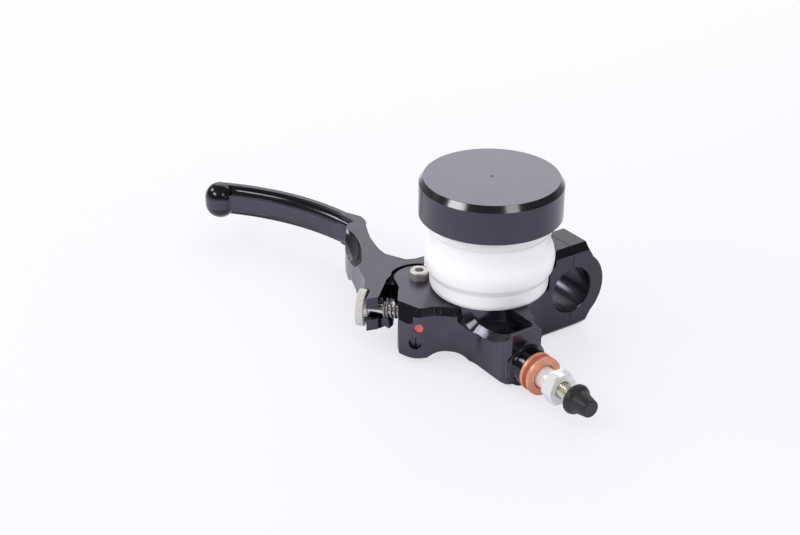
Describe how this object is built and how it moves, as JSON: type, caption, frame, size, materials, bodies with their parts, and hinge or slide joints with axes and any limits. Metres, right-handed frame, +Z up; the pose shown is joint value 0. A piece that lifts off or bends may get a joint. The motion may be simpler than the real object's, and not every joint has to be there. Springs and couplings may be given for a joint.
{
  "type": "brake master cylinder",
  "caption": "Radial motorcycle brake master cylinder with curved lever, round fluid reservoir, split bar clamp, knurled reach adjuster and banjo outlet with bleed nipple.",
  "frame": {"origin": "centre of the handlebar clamp bore, on its axis, midway along the clamp", "axes": "+X along the handlebar, outboard toward the lever's ball end; +Y forward, from the bar to the lever; +Z up toward the reservoir cap"},
  "size_m": [0.2607, 0.111, 0.0815],
  "materials": {
    "black_anodised": "satin",
    "black_anodised_lever": "satin",
    "cap_anodised": "satin",
    "screw_steel": "satin",
    "black_steel": "satin",
    "knob_alloy": "satin",
    "spring_steel": "satin",
    "bronze": "satin",
    "seal_rubber": "matt",
    "piston_alloy": "satin",
    "reservoir_plastic": "satin",
    "zinc_steel": "satin",
    "yellow_zinc": "satin",
    "cap_rubber": "matt",
    "copper": "satin",
    "red_plastic": "matt"
  },
  "bodies": {
    "base": {"body": "black_anodised", "clamp_cap": "black_anodised", "clamp_screws": "black_steel", "pivot_screw": "screw_steel", "pivot_nut": "screw_steel", "rod_spring": "spring_steel", "gland_bush": "bronze", "circlip": "black_steel", "rod_seal": "seal_rubber", "return_spring": "spring_steel", "reservoir": "reservoir_plastic", "reservoir_seal": "seal_rubber", "reservoir_screw": "screw_steel", "banjo_bolt": "zinc_steel", "copper_washer_inner": "copper", "copper_washer_outer": "copper", "index_plug": "red_plastic", "grub_screw": "black_steel"},
    "lever": {"lever": "black_anodised_lever", "pivot_bush": "bronze"},
    "piston": {"pull_rod": "zinc_steel", "piston": "piston_alloy", "primary_cup": "seal_rubber", "secondary_cup": "seal_rubber"},
    "adjuster": {"adjuster_knob": "knob_alloy"},
    "diaphragm_body": {"diaphragm": "seal_rubber"},
    "cap": {"reservoir_cap": "cap_anodised"},
    "bleeder": {"bleed_screw": "yellow_zinc"},
    "dust_cap": {"bleed_cap": "cap_rubber"}
  },
  "joints": [
    {"name": "lever_swing", "type": "hinge", "parent": "base", "child": "lever", "pos_m": [0.032, 0.056, -0.0038], "axis": [0, 0, -1], "range_deg": [0, 12], "stiffness_Nm_per_rad": 2, "springref_deg": -5.73},
    {"name": "piston_slide", "type": "slide", "parent": "base", "child": "piston", "axis": [0.7193, 0.6947, 0], "range_m": [0, 0.0047], "deforming": ["return_spring"]},
    {"name": "adjuster_turn", "type": "hinge", "parent": "piston", "child": "adjuster", "pos_m": [0.0265, 0.0764, -0.0038], "axis": [0.7193, 0.6947, 0], "range_deg": [-180, 180]},
    {"name": "cap_lift", "type": "slide", "parent": "base", "child": "diaphragm_body", "axis": [0, 0, 1], "range_m": [0, 0.035]},
    {"name": "cap_turn", "type": "hinge", "parent": "diaphragm_body", "child": "cap", "pos_m": [0.0089, 0.0333, 0.05], "axis": [0, 0, 1], "range_deg": [-180, 180]},
    {"name": "bleed_screw_turn", "type": "hinge", "parent": "base", "child": "bleeder", "pos_m": [-0.06, 0.0454, -0.012], "axis": [-1, 0, 0], "range_deg": [0, 180]},
    {"name": "bleed_cap_pull", "type": "slide", "parent": "base", "child": "dust_cap", "axis": [-1, 0, 0], "range_m": [0, 0.012]}
  ],
  "couplings": [
    {"joint": "piston_slide", "follows": "lever_swing", "m_per_rad": 0.0222}
  ]
}
